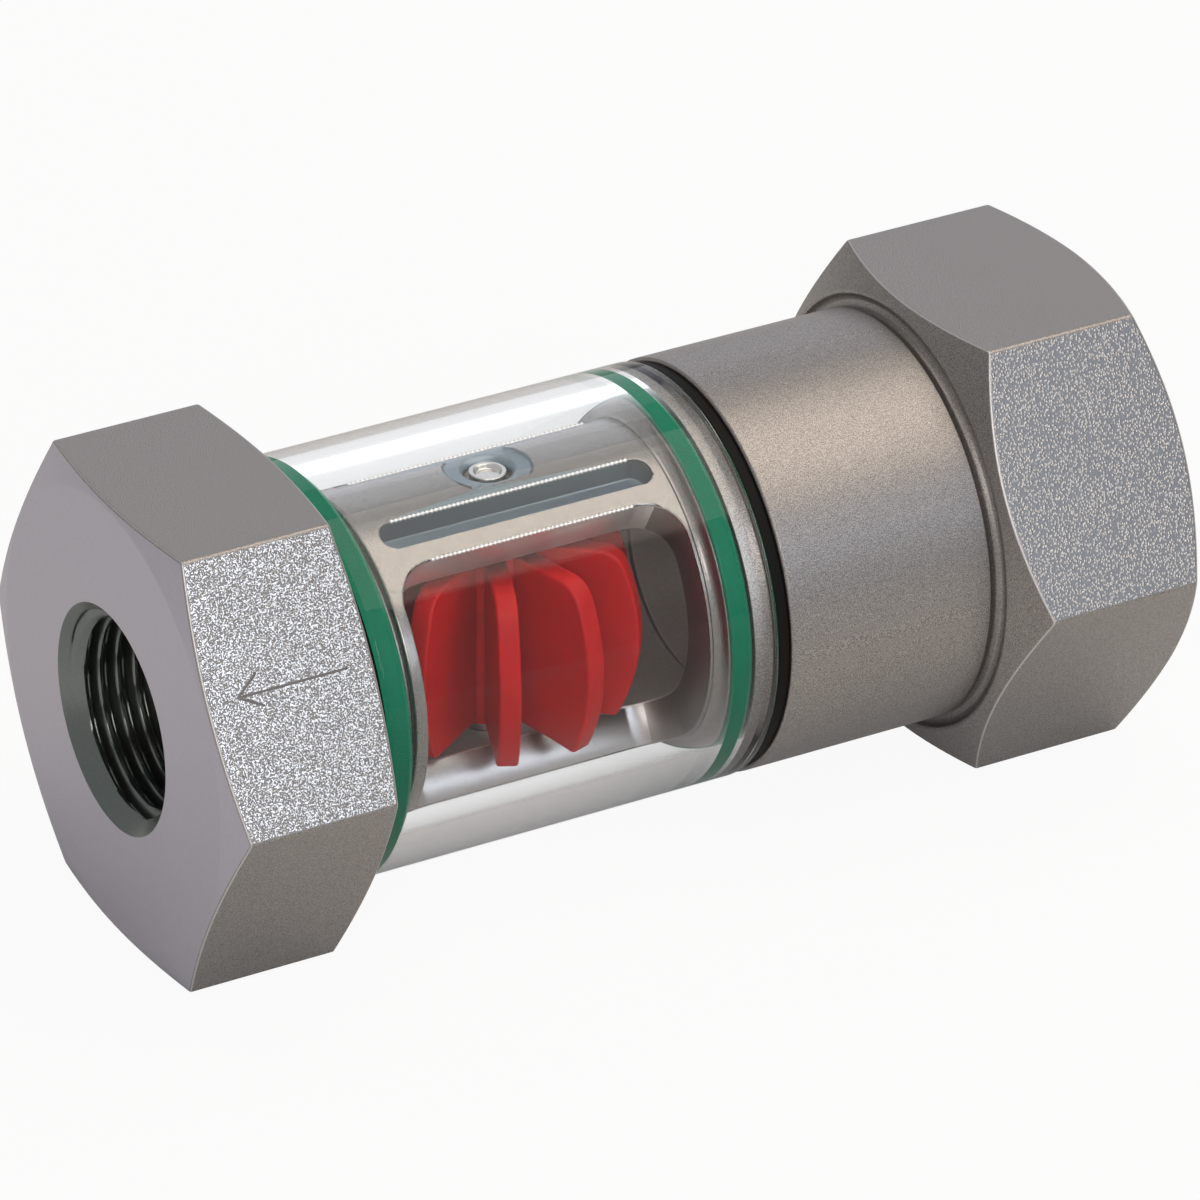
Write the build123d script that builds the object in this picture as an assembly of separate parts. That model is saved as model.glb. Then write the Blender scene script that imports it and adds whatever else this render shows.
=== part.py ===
from build123d import *
from math import cos, radians, sin, sqrt, tan
import os

# Flow indicator with a vane wheel under a glass tube.
# Millimetres, +Z up. X is the flow axis and the origin is halfway along it.
# Liquid enters at +X and leaves at -X, and the wheel turns about a vertical axle.

# Hexagons of the two fittings
across_flats = 46.0
outlet_hex_length = 17.3
inlet_hex_length = 20.9

# Hexagon chamfers, as the radius left on the end face and the cone's slope
outlet_face_radius = 22.4
outlet_chamfer_angle = 15.0
inlet_face_radius = 22.6
inlet_back_radius = 22.0
inlet_chamfer_angle = 30.0

# Female pipe thread G 1/2, modelled at its minor diameter
thread_minor_diameter = 18.631
thread_depth = 15.0
countersink_diameter = 22.6
outlet_throat_diameter = 17.6
inlet_throat_diameter = 17.0
inlet_throat_length = 17.5

# Sight glass and its cushion rings
glass_outer_diameter = 41.0
glass_wall = 3.0
glass_bevel = 0.4
cushion_thickness = 1.3
cushion_outer_inset = 0.4

# Neck of the inlet fitting, between its hexagon and the glass
neck_length = 22.7
neck_diameter = 41.0
neck_chamfer = 0.2
neck_undercut_radius = 0.8
neck_undercut_depth = 0.4
neck_undercut_inset = 0.12

# Spigots of the fittings: a land that centres the glass and a lower seat for the seal ring
land_clearance = 0.05
outlet_land_length = 2.3
outlet_seat_length = 3.5
inlet_land_length = 3.05
inlet_seat_length = 2.45

# Seal rings between seat and glass, drawn squeezed
seal_width = 2.4
seal_height = 2.4
seal_corner = 0.4
seal_squeeze_gap = 0.02
seal_side_gap = 0.05

# Rotor cage, a thick tube screwed into both fittings
cage_length = 32.8
chamber_diameter = 23.0
cage_wall = 4.3
cage_end_chamfer = 0.3
tail_wall = 1.5
tail_length = 5.0
tail_clearance = 0.03
tail_end_gap = 0.25

# Windows and slots of the cage
window_length = 30.0
window_half_angle = 56.5
window_corner = 4.0
slot_length = 28.6
slot_width = 3.0
slot_depth = 2.5
slot_angle = 69.0

# Bearings in the cage
spot_face_diameter = 8.4
spot_face_depth = 0.3
bush_diameter = 4.4
bush_hole_clearance = 0.01
bush_countersink = 0.5
bush_collar_diameter = 3.6
bush_collar_height = 0.9
bush_collar_inset = 0.15
bush_dimple_diameter = 2.8
bush_dimple_depth = 0.4
bush_dimple_taper = 0.3
bush_cap_thickness = 0.9

# Axle
axle_diameter = 2.5
axle_running_clearance = 0.03
axle_end_gap = 0.2
axle_end_chamfer = 0.3

# Vane wheel
vane_count = 10
vane_phase = -2.8
vane_thickness = 2.1
vane_tip_inset = 1.2
vane_edge_curve = 2.2
vane_end_step = 0.4
vane_top_corner = 2.6
vane_bottom_corner = 0.7
hub_diameter = 9.2
hub_end_inset = 2.3
hub_bore_clearance = 0.01

# Thrust washers between the hub and the bushes
washer_outer_diameter = 5.8
washer_thickness = 0.5
washer_gap = 0.1
washer_bore_clearance = 0.05

# Jet nozzle in the inlet fitting and its retaining ring
nozzle_length = 5.2
nozzle_clearance = 0.05
nozzle_bore_diameter = 8.0
nozzle_offset = 3.9
nozzle_entry_chamfer = 0.6
ring_thickness = 1.0
ring_radial_width = 1.9
ring_groove_depth = 0.6
ring_side_clearance = 0.05
ring_opening_angle = 40.0

# How far a cutting tool, or the root of a boss, reaches past the face it works on
overrun = 1.5

# Places along the flow axis
overall_length = (outlet_hex_length + outlet_land_length + outlet_seat_length + cage_length
                  + inlet_seat_length + inlet_land_length + neck_length + inlet_hex_length)
outlet_end = -overall_length / 2
inlet_end = overall_length / 2
outlet_shoulder = outlet_end + outlet_hex_length
outlet_seat_start = outlet_shoulder + outlet_land_length
cage_start = outlet_seat_start + outlet_seat_length
cage_end = cage_start + cage_length
rotor_x = (cage_start + cage_end) / 2
inlet_seat_end = cage_end + inlet_seat_length
inlet_shoulder = inlet_seat_end + inlet_land_length
inlet_hex_back = inlet_shoulder + neck_length
glass_start = outlet_shoulder + cushion_thickness
glass_end = inlet_shoulder - cushion_thickness
nozzle_seat = inlet_end - thread_depth - inlet_throat_length
nozzle_start = nozzle_seat - nozzle_length

# Radii from the flow axis
hex_corner_radius = across_flats / sqrt(3)
glass_radius = glass_outer_diameter / 2
glass_bore_radius = glass_radius - glass_wall
neck_radius = neck_diameter / 2
land_radius = glass_bore_radius - land_clearance
seat_radius = glass_bore_radius - seal_height
chamber_radius = chamber_diameter / 2
cage_radius = chamber_radius + cage_wall
tail_radius = chamber_radius + tail_wall
tail_hole_radius = tail_radius + tail_clearance
thread_radius = thread_minor_diameter / 2
countersink_radius = countersink_diameter / 2

# Wheel inside the cage: its vanes reach into the windows and its hub ends below the bore
vane_tip_radius = cage_radius - vane_tip_inset
vane_end_radius = vane_tip_radius - vane_edge_curve
hub_half_height = chamber_radius - hub_end_inset
vane_half_height = hub_half_height - vane_end_step

# Heights of the upper bearing, which the lower one mirrors
spot_face_height = cage_radius - spot_face_depth
collar_top = spot_face_height - bush_collar_inset
collar_base = collar_top - bush_collar_height
dimple_floor = collar_top - bush_dimple_depth
axle_hole_end = dimple_floor - bush_cap_thickness
bush_inner_end = hub_half_height + washer_thickness + washer_gap

# Radii from the axle
axle_radius = axle_diameter / 2
bush_hole_radius = bush_diameter / 2 + bush_hole_clearance

parts = {}


def turned(points):
    """Solid of revolution about the flow axis from an outline of places and radii."""
    return revolve(make_face(Polyline(*points, close=True)), axis=Axis.X)


def standing(points):
    """Solid of revolution about the wheel's axle from an outline of radii and heights."""
    return Pos(rotor_x, 0, 0) * revolve(make_face(Plane.XZ * Polyline(*points, close=True)), axis=Axis(
        (0, 0, 0), (0, 0, 1)))


def hexagon_between(x0, x1):
    """Hexagonal bar along the flow axis with level flats and its corners at the sides."""
    section = Plane.YZ.offset(x0) * RegularPolygon(across_flats / 2, 6, major_radius=False)
    return extrude(section, x1 - x0)


def chamfer_envelope(x0, x1, radius0, radius1, angle):
    """Round body whose two cones trim the ends of a hexagonal bar."""
    reach = hex_corner_radius + overrun
    rise = tan(radians(angle))
    return turned([
        (x0, 0),
        (x0, radius0),
        (x0 + (reach - radius0) * rise, reach),
        (x1 - (reach - radius1) * rise, reach),
        (x1, radius1),
        (x1, 0),
    ])


def pipe_socket(face, inward, throat_radius, throat_end):
    """Negative of a threaded socket with its 45 degree countersink and the throat behind it."""
    cone = countersink_radius - thread_radius
    return turned([
        (face, 0),
        (face, countersink_radius),
        (face + inward * cone, thread_radius),
        (face + inward * thread_depth, thread_radius),
        (face + inward * thread_depth, throat_radius),
        (throat_end, throat_radius),
        (throat_end, 0),
    ])


def make_outlet_fitting():
    body = hexagon_between(outlet_end, outlet_shoulder)
    body &= chamfer_envelope(outlet_end, outlet_shoulder, outlet_face_radius, outlet_face_radius,
                             outlet_chamfer_angle)
    body += turned([
        (outlet_shoulder - overrun, 0),
        (outlet_shoulder - overrun, land_radius),
        (outlet_seat_start, land_radius),
        (outlet_seat_start, seat_radius),
        (cage_start, seat_radius),
        (cage_start, 0),
    ])
    tail_hole_end = cage_start - tail_length - tail_end_gap
    body -= pipe_socket(outlet_end, 1, outlet_throat_diameter / 2, tail_hole_end)
    body -= turned([
        (tail_hole_end, 0),
        (tail_hole_end, tail_hole_radius),
        (cage_start, tail_hole_radius),
        (cage_start, 0),
    ])
    return body


def inlet_hex_and_neck():
    """Hexagon, neck and glass spigot of the inlet fitting, still solid inside."""
    body = hexagon_between(inlet_hex_back, inlet_end)
    body &= chamfer_envelope(inlet_hex_back, inlet_end, inlet_back_radius, inlet_face_radius,
                             inlet_chamfer_angle)
    body += turned([
        (cage_end, 0),
        (cage_end, seat_radius),
        (inlet_seat_end, seat_radius),
        (inlet_seat_end, land_radius),
        (inlet_shoulder, land_radius),
        (inlet_shoulder, neck_radius - neck_chamfer),
        (inlet_shoulder + neck_chamfer, neck_radius),
        (inlet_hex_back + overrun, neck_radius),
        (inlet_hex_back + overrun, 0),
    ])
    undercut = Pos(inlet_hex_back - neck_undercut_inset,
                   neck_radius - neck_undercut_depth + neck_undercut_radius) * Circle(neck_undercut_radius)
    return body - revolve(undercut, axis=Axis.X)


def make_inlet_fitting():
    body = inlet_hex_and_neck()
    tail_hole_end = cage_end + tail_length + tail_end_gap
    body -= turned([
        (cage_end, 0),
        (cage_end, tail_hole_radius),
        (tail_hole_end, tail_hole_radius),
        (tail_hole_end, chamber_radius),
        (nozzle_seat, chamber_radius),
        (nozzle_seat, 0),
    ])
    groove_radius = chamber_radius + ring_groove_depth
    groove_start = nozzle_start - ring_thickness - 2 * ring_side_clearance
    body -= turned([
        (groove_start, 0),
        (groove_start, groove_radius),
        (nozzle_start, groove_radius),
        (nozzle_start, 0),
    ])
    return body - pipe_socket(inlet_end, -1, inlet_throat_diameter / 2, nozzle_seat)


def window_cutter(middle_angle):
    """Window with radial walls and rounded corners, its angle measured from the front towards the top."""
    section = make_face(Polyline(
        (-window_length / 2, -cage_radius - overrun),
        (window_length / 2, -cage_radius - overrun),
        (window_length / 2, -chamber_radius + overrun),
        (-window_length / 2, -chamber_radius + overrun),
        close=True,
    ))
    wedge = revolve(section, axis=Axis.X, revolution_arc=2 * window_half_angle)
    cutter = Rot(X=-middle_angle - window_half_angle) * wedge
    radial = [e for e in cutter.edges().filter_by(GeomType.LINE) if abs(e.tangent_at(0).X) < 0.5]
    return fillet(radial, window_corner)


def slot_cutter(angle):
    """Long blind slot with round ends, milled into the wall from outside."""
    block = Pos(0, 0, cage_radius - slot_depth) * extrude(
        SlotOverall(slot_length, slot_width), slot_depth + overrun)
    return Rot(X=90 - angle) * block


def bearing_seat():
    """Spot face, countersink and bush hole in the cage's top."""
    rim = bush_hole_radius + bush_countersink
    return standing([
        (0, 0),
        (bush_hole_radius, 0),
        (bush_hole_radius, spot_face_height - bush_countersink),
        (rim, spot_face_height),
        (spot_face_diameter / 2, spot_face_height),
        (spot_face_diameter / 2, cage_radius + overrun),
        (0, cage_radius + overrun),
    ])


def make_cage():
    body = turned([
        (cage_start - tail_length, chamber_radius),
        (cage_start - tail_length, tail_radius),
        (cage_start, tail_radius),
        (cage_start, cage_radius - cage_end_chamfer),
        (cage_start + cage_end_chamfer, cage_radius),
        (cage_end - cage_end_chamfer, cage_radius),
        (cage_end, cage_radius - cage_end_chamfer),
        (cage_end, tail_radius),
        (cage_end + tail_length, tail_radius),
        (cage_end + tail_length, chamber_radius),
    ])
    for middle in (0, 180):
        body -= Pos(rotor_x, 0, 0) * window_cutter(middle)
    for side in (slot_angle, 180 - slot_angle, -slot_angle, slot_angle - 180):
        body -= Pos(rotor_x, 0, 0) * slot_cutter(side)
    for turn in (0, 180):
        body -= Rot(X=turn) * bearing_seat()
    return body


def make_sight_glass():
    return turned([
        (glass_start, glass_bore_radius + glass_bevel),
        (glass_start, glass_radius - glass_bevel),
        (glass_start + glass_bevel, glass_radius),
        (glass_end - glass_bevel, glass_radius),
        (glass_end, glass_radius - glass_bevel),
        (glass_end, glass_bore_radius + glass_bevel),
        (glass_end - glass_bevel, glass_bore_radius),
        (glass_start + glass_bevel, glass_bore_radius),
    ])


def make_glass_seal(start):
    """Seal ring squeezed to a rounded square between its seat and the glass."""
    section = RectangleRounded(seal_width, seal_height - 2 * seal_squeeze_gap, seal_corner)
    return revolve(Pos(start + seal_width / 2, seat_radius + seal_height / 2) * section, axis=Axis.X)


def make_cushion_ring(start):
    inner = glass_bore_radius + land_clearance
    outer = glass_radius - cushion_outer_inset
    end = start + cushion_thickness
    return turned([(start, inner), (start, outer), (end, outer), (end, inner)])


def make_bearing_bush():
    """Bush with a stepped outer end and a blind hole for the axle, drawn for the top."""
    hole = axle_radius + axle_running_clearance
    return standing([
        (hole, bush_inner_end),
        (bush_diameter / 2, bush_inner_end),
        (bush_diameter / 2, collar_base),
        (bush_collar_diameter / 2, collar_base),
        (bush_collar_diameter / 2, collar_top),
        (bush_dimple_diameter / 2, collar_top),
        (bush_dimple_diameter / 2 - bush_dimple_taper, dimple_floor),
        (0, dimple_floor),
        (0, axle_hole_end),
        (hole, axle_hole_end),
    ])


def make_axle():
    tip = axle_hole_end - axle_end_gap
    neck = axle_radius - axle_end_chamfer
    return standing([
        (0, -tip),
        (neck, -tip),
        (axle_radius, -tip + axle_end_chamfer),
        (axle_radius, tip - axle_end_chamfer),
        (neck, tip),
        (0, tip),
    ])


def vane_profile():
    """Half outline of a vane from the axle outwards, its outer edge a shallow arc."""
    h = vane_half_height
    edge = ThreePointArc((vane_end_radius, -h), (vane_tip_radius, 0), (vane_end_radius, h))
    top = Line((vane_end_radius, h), (0, h))
    back = Line((0, h), (0, -h))
    bottom = Line((0, -h), (vane_end_radius, -h))
    face = make_face([edge, top, back, bottom])
    for height, corner in ((h, vane_top_corner), (-h, vane_bottom_corner)):
        tip = face.vertices().sort_by_distance((vane_end_radius, height, 0))[0]
        face = fillet(tip, corner)
    return face


def make_rotor():
    body = Cylinder(hub_diameter / 2, 2 * hub_half_height)
    vane = extrude(Plane.XZ * vane_profile(), vane_thickness / 2, both=True)
    for k in range(vane_count):
        body += Rot(Z=vane_phase + 360 * k / vane_count) * vane
    body -= Cylinder(axle_radius + hub_bore_clearance, 2 * (hub_half_height + overrun))
    return Pos(rotor_x, 0, 0) * body


def make_thrust_washer():
    """Washer on the hub's end face, drawn for the top."""
    inner = axle_radius + washer_bore_clearance
    outer = washer_outer_diameter / 2
    end = hub_half_height + washer_thickness
    return standing([(inner, hub_half_height), (outer, hub_half_height), (outer, end), (inner, end)])


def make_nozzle():
    """Round insert whose bore is set to one side, so that the jet turns the wheel."""
    outer = chamber_radius - nozzle_clearance
    jet = nozzle_bore_diameter / 2
    body = turned([(nozzle_start, 0), (nozzle_start, outer), (nozzle_seat, outer), (nozzle_seat, 0)])
    bore = turned([
        (nozzle_start - overrun, 0),
        (nozzle_start - overrun, jet),
        (nozzle_seat - nozzle_entry_chamfer, jet),
        (nozzle_seat + overrun, jet + nozzle_entry_chamfer + overrun),
        (nozzle_seat + overrun, 0),
    ])
    return body - Pos(0, nozzle_offset, 0) * bore


def make_retaining_ring():
    """Sprung ring in the groove beside the nozzle, open at the bottom."""
    end = nozzle_start - ring_side_clearance
    start = end - ring_thickness
    outer = chamber_radius + ring_groove_depth - nozzle_clearance
    inner = outer - ring_radial_width
    closed = turned([(start, inner), (start, outer), (end, outer), (end, inner)])
    reach = outer + overrun
    half = radians(ring_opening_angle / 2)
    opening = make_face(Polyline(
        (0, 0),
        (-reach * sin(half), -reach * cos(half)),
        (reach * sin(half), -reach * cos(half)),
        close=True,
    ))
    return closed - extrude(Plane.YZ.offset(start - overrun) * opening, ring_thickness + 2 * overrun)


parts["outlet_fitting"] = make_outlet_fitting()
parts["inlet_fitting"] = make_inlet_fitting()
parts["rotor_cage"] = make_cage()
parts["sight_glass"] = make_sight_glass()
parts["outlet_glass_seal"] = make_glass_seal(outlet_seat_start + seal_side_gap)
parts["inlet_glass_seal"] = make_glass_seal(inlet_seat_end - seal_side_gap - seal_width)
parts["outlet_cushion_ring"] = make_cushion_ring(outlet_shoulder)
parts["inlet_cushion_ring"] = make_cushion_ring(glass_end)
parts["rotor"] = make_rotor()
parts["rotor_axle"] = make_axle()
parts["upper_bearing_bush"] = make_bearing_bush()
parts["lower_bearing_bush"] = Rot(X=180) * make_bearing_bush()
parts["upper_thrust_washer"] = make_thrust_washer()
parts["lower_thrust_washer"] = Rot(X=180) * make_thrust_washer()
parts["inlet_nozzle"] = make_nozzle()
parts["nozzle_retaining_ring"] = make_retaining_ring()

os.makedirs("parts", exist_ok=True)
for name, solid in parts.items():
    export_step(solid, "parts/" + name + ".step")
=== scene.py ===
import math

import bmesh
import bpy
import numpy as np
from mathutils import Matrix, Vector


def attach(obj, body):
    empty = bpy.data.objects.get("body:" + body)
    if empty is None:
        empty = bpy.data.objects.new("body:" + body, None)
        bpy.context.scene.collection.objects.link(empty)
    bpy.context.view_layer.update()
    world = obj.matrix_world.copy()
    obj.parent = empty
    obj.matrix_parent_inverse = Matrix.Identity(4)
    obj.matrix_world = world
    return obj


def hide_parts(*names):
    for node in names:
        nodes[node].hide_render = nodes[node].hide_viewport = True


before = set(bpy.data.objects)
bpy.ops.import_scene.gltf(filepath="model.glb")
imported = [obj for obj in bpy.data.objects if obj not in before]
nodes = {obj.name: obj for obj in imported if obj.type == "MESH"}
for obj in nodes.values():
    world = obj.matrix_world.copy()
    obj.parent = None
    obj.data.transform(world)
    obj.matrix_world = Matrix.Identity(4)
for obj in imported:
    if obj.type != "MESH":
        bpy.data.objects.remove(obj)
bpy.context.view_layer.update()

MM = 0.001

# Sizes in millimetres. Those that the part's source has too are the same, but for the glass's bevels, which
# follow the photo closer. Places are along the flow axis, chamfers are given by their slopes, and a reach is
# half the length of a row of scallops.
across_flats, hexagon_corner = 46.0, 0.45
outlet_face, outlet_shoulder = -52.5, -35.2
outlet_seat_start, cage_start, cage_end = -32.9, -29.4, 3.4
inlet_seat_end, inlet_shoulder, inlet_back, inlet_face = 5.85, 8.9, 31.6, 52.5
outlet_face_radius, inlet_face_radius, inlet_back_radius, neck_radius = 22.4, 22.6, 22.0, 20.5
outlet_chamfer, inlet_chamfer = math.tan(math.radians(15)), math.tan(math.radians(30))
thread_pitch, thread_minor, thread_major = 1.814, 9.3155, 10.4775
thread_depth, countersink = 15.0, 11.3
outlet_throat, inlet_throat = 8.8, 8.5
outlet_tail_end, inlet_tail_end, nozzle_seat = -34.65, 8.65, 20.0
groove_start, groove_end, groove_radius = 13.7, 14.8, 12.1
seat_radius, tail_hole_radius, chamber_radius, cage_radius = 15.1, 13.03, 11.5, 15.8
glass_start, glass_end = -33.9, 7.6
glass_radius, glass_bore, glass_bevel, bore_bevel = 20.5, 17.5, 0.3, 0.7
seal_width, seal_side_gap = 2.4, 0.05
cushion_thickness, cushion_radius, cushion_bore = 1.3, 20.1, 17.55
slot_angle, slot_half_width, slot_reach = 69.0, 1.5, 12.7
window_angle, window_reach = 56.5, 10.8
axle_x = -13.0
vane_count, vane_phase = 10, -2.8
vane_tip, vane_sag, vane_half_height = 14.6, 2.2, 8.8
vane_top_corner, vane_bottom_corner = 2.6, 0.7
hub_radius, hub_bore, hub_half_height = 4.6, 1.26, 9.2

# How far faces that would touch overlap or stay apart, so that they don't flicker
touch = 0.03

# Of half the angle between two flats; the upper front flat faces 30 degrees up
COS30, SIN30 = math.cos(math.radians(30)), 0.5


# Small tools for materials

def linear(hex_colour):
    """An sRGB hex colour as linear red, green, blue and alpha."""
    parts = [int(hex_colour[i:i + 2], 16) / 255 for i in (1, 3, 5)]
    return tuple(c / 12.92 if c <= 0.04045 else ((c + 0.055) / 1.055) ** 2.4 for c in parts) + (1.0,)


def add(tree, kind, inputs=None, **settings):
    """Adds a node; inputs holds values or other nodes' output sockets by name or number."""
    made = tree.nodes.new("ShaderNode" + kind)
    for key, value in settings.items():
        setattr(made, key, value)
    for key, value in (inputs or {}).items():
        if isinstance(value, bpy.types.NodeSocket):
            tree.links.new(value, made.inputs[key])
        else:
            made.inputs[key].default_value = value
    return made


def material(name):
    """A material with nothing but its output, whose surface socket comes with it."""
    made = bpy.data.materials.new(name)
    made.use_nodes = True
    tree = made.node_tree
    tree.nodes.clear()
    return made, tree, add(tree, "OutputMaterial").inputs["Surface"]


def object_place(tree):
    """Object coordinates of the surface."""
    return add(tree, "TexCoord").outputs["Object"]


def noise(tree, place, scale, detail, roughness=0.5):
    """Noise in space, from 0 to 1."""
    return add(tree, "TexNoise", {"Vector": place, "Scale": scale, "Detail": detail,
                                  "Roughness": roughness}).outputs["Fac"]


def mapped(tree, value, low, high, to_low=0.0, to_high=1.0):
    """Carries a value from one range to another and keeps it inside."""
    return add(tree, "MapRange", {"Value": value, "From Min": low, "From Max": high, "To Min": to_low,
                                  "To Max": to_high}).outputs["Result"]


def blend(tree, share, first, second):
    """Mixes two colours, given as sRGB hex or as sockets."""
    first, second = (linear(c) if isinstance(c, str) else c for c in (first, second))
    return add(tree, "Mix", {"Factor": share, "A": first, "B": second}, data_type="RGBA").outputs["Result"]


def bump(tree, height, strength, distance):
    """Normal tilted by a height that rises over a distance in metres."""
    return add(tree, "Bump", {"Height": height, "Strength": strength, "Distance": distance}).outputs["Normal"]


def shade(tree, surface, inputs):
    """Puts a principled shader with these inputs on a material's surface."""
    tree.links.new(add(tree, "BsdfPrincipled", inputs).outputs["BSDF"], surface)


def dress(piece, finish):
    """Gives a piece one material all over."""
    piece.data.materials.clear()
    piece.data.materials.append(finish)
    piece.data.polygons.foreach_set("material_index", np.zeros(len(piece.data.polygons), np.int32))


# Materials

def blasted_stainless():
    """Stainless steel turned and then blasted with fine glass beads: a grey satin with a fine grain."""
    made, tree, surface = material("Bead-blasted stainless steel")
    place = object_place(tree)
    grain = noise(tree, place, 11000.0, 1.0, 0.6)
    cloud = noise(tree, place, 90.0, 3.0, 0.55)
    tone = blend(tree, cloud, "#b6b2ae", "#bdb9b5")
    shade(tree, surface, {
        "Base Color": blend(tree, mapped(tree, grain, 0.4, 0.6), tone, "#878381"), "Metallic": 1.0,
        "Roughness": mapped(tree, grain, 0.0, 1.0, 0.34, 0.46), "Normal": bump(tree, grain, 0.35, 0.00006)})
    return made


def bar_skin_painted_light(name, grain_size, dark, bright, depth, drops=False):
    """The hexagon bar's own skin, pitted by pickling: crumbs, or round drops, that glitter towards a lamp.
    Its colours, lighter than the blasted steel's and up to white in the specks, are painted light and painted
    glints.

    grain_size is in millimetres and depth is a share of it.
    """
    made, tree, surface = material(name)
    place, scale = object_place(tree), 1.0 / (grain_size * MM)
    if drops:
        cells = add(tree, "TexVoronoi", {"Vector": place, "Scale": scale})
        speck = mapped(tree, cells.outputs["Distance"], 0.55, 0.2)
    else:
        speck = mapped(tree, noise(tree, place, scale, 1.0, 0.6), 0.42, 0.56)
    shade(tree, surface, {
        "Base Color": blend(tree, speck, dark, bright), "Metallic": 1.0, "Roughness": 0.36,
        "Normal": bump(tree, speck, 1.0, grain_size * MM * depth)})
    return made


def turned_stainless():
    """Stainless steel as it left the lathe: bright satin with fine rings round the flow axis."""
    made, tree, surface = material("Fine-turned stainless steel")
    place = object_place(tree)
    split = add(tree, "SeparateXYZ", {"Vector": place})
    across = add(tree, "CombineXYZ", {"Y": split.outputs["Y"], "Z": split.outputs["Z"]})
    radius = add(tree, "VectorMath", {0: across.outputs["Vector"]}, operation="LENGTH")
    along = add(tree, "Math", {0: split.outputs["X"], 1: radius.outputs["Value"]})
    rings = add(tree, "TexNoise", {"W": along.outputs[0], "Scale": 9000.0, "Detail": 2.0},
                noise_dimensions="1D")
    speck = mapped(tree, noise(tree, place, 9000.0, 1.0), 0.38, 0.62)
    shade(tree, surface, {
        "Base Color": blend(tree, speck, "#a5a29f", "#8a8784"), "Metallic": 1.0, "Roughness": 0.27,
        "Normal": bump(tree, rings.outputs["Fac"], 0.15, 0.00003)})
    return made


def milled_stainless(name, light, dark, roughness):
    """Stainless steel cut by an end mill or a boring bar: dull, with a soft even grain."""
    made, tree, surface = material(name)
    grain = noise(tree, object_place(tree), 3500.0, 2.0)
    shade(tree, surface, {
        "Base Color": blend(tree, grain, light, dark), "Metallic": 1.0, "Roughness": roughness})
    return made


def ground_stainless():
    """Centreless-ground stainless steel: smooth, with a sharp gloss."""
    made, tree, surface = material("Ground stainless steel")
    grain = noise(tree, object_place(tree), 2500.0, 2.0)
    shade(tree, surface, {
        "Base Color": linear("#cfcdca"), "Metallic": 1.0,
        "Roughness": mapped(tree, grain, 0.0, 1.0, 0.1, 0.2)})
    return made


def borosilicate_glass():
    """Clear borosilicate tube, drawn and fire-polished: no grain at all."""
    made, tree, surface = material("Clear borosilicate glass")
    shade(tree, surface, {
        "Base Color": linear("#f7f8f8"), "Roughness": 0.0, "IOR": 1.47, "Transmission Weight": 1.0,
        "Specular Tint": linear("#b0b0b0")})
    return made


def moulded_rubber(name, light, dark, roughness):
    """Compression-moulded rubber: even colour, with a faint skin texture."""
    made, tree, surface = material(name)
    skin = noise(tree, object_place(tree), 1800.0, 3.0)
    shade(tree, surface, {
        "Base Color": blend(tree, skin, light, dark), "Roughness": roughness, "Specular IOR Level": 0.18,
        "Normal": bump(tree, skin, 0.15, 0.00004)})
    return made


def red_polyamide():
    """Injection-moulded red polyamide, slightly translucent with a soft gloss and faint mould marks."""
    made, tree, surface = material("Moulded red polyamide")
    place = object_place(tree)
    cloud = noise(tree, place, 260.0, 4.0, 0.6)
    skin = noise(tree, place, 2200.0, 2.0)
    shade(tree, surface, {
        "Base Color": blend(tree, cloud, "#c8110d", "#a20a09"), "Roughness": 0.4, "IOR": 1.53,
        "Specular IOR Level": 0.18, "Subsurface Weight": 0.25, "Subsurface Scale": 0.0015,
        "Subsurface Radius": (1.0, 0.12, 0.06), "Normal": bump(tree, skin, 0.12, 0.00005)})
    return made


def white_acetal():
    """Machined natural acetal: milky white with a faint grain."""
    made, tree, surface = material("Natural acetal")
    grain = noise(tree, object_place(tree), 900.0, 3.0)
    shade(tree, surface, {
        "Base Color": blend(tree, grain, "#eeece4", "#dedbd1"), "Roughness": 0.42, "IOR": 1.48})
    return made


BLASTED = blasted_stainless()
# The upper front flats: the pickled skin's grain, in lighter colours than the other flats as painted light.
OUTLET_SKIN_PAINTED_LIGHT = bar_skin_painted_light("Pickled bar skin with painted light, coarse", 0.155, "#8d8a87", "#ffffff", 0.55)
INLET_SKIN_PAINTED_LIGHT = bar_skin_painted_light("Pickled bar skin with painted light, in drops", 0.29, "#a4a6a9", "#ececef", 0.3, True)
TURNED = turned_stainless()
# Darker bluish steel in the slots and on the spot faces: painted shade in the slots and a painted dark
# reflection on the spot faces.
SLOT_PAINTED_SHADE = milled_stainless("End-milled stainless steel with painted shade in the slots", "#8d9ca4", "#7b8a92", 0.4)
# The window walls are one end-milled steel in three colours: lighter on the upper walls as painted light,
# darker on the sills and the jambs as painted shade.
WALL_PAINTED_LIGHT = milled_stainless("End-milled stainless steel with painted light", "#e2dedb", "#d2cecb", 0.5)
JAMB_PAINTED_SHADE = milled_stainless("End-milled stainless steel with painted shade on the jambs", "#87817d", "#767170", 0.45)
SILL_PAINTED_SHADE = milled_stainless("End-milled stainless steel with painted shade on the sills", "#a8a5a3", "#989593", 0.33)
BORED = milled_stainless("Bored stainless steel", "#dad3ce", "#beb8b4", 0.62)
# Pure white steel for the scallop beads: a painted highlight along the cage's broken edges.
SCALLOP_PAINTED_HIGHLIGHT = milled_stainless("Stainless steel with painted highlight", "#ffffff", "#f4f2f0", 0.45)
FACED = milled_stainless("Face-turned stainless steel", "#cbc8d3", "#bebcc5", 0.36)
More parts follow.
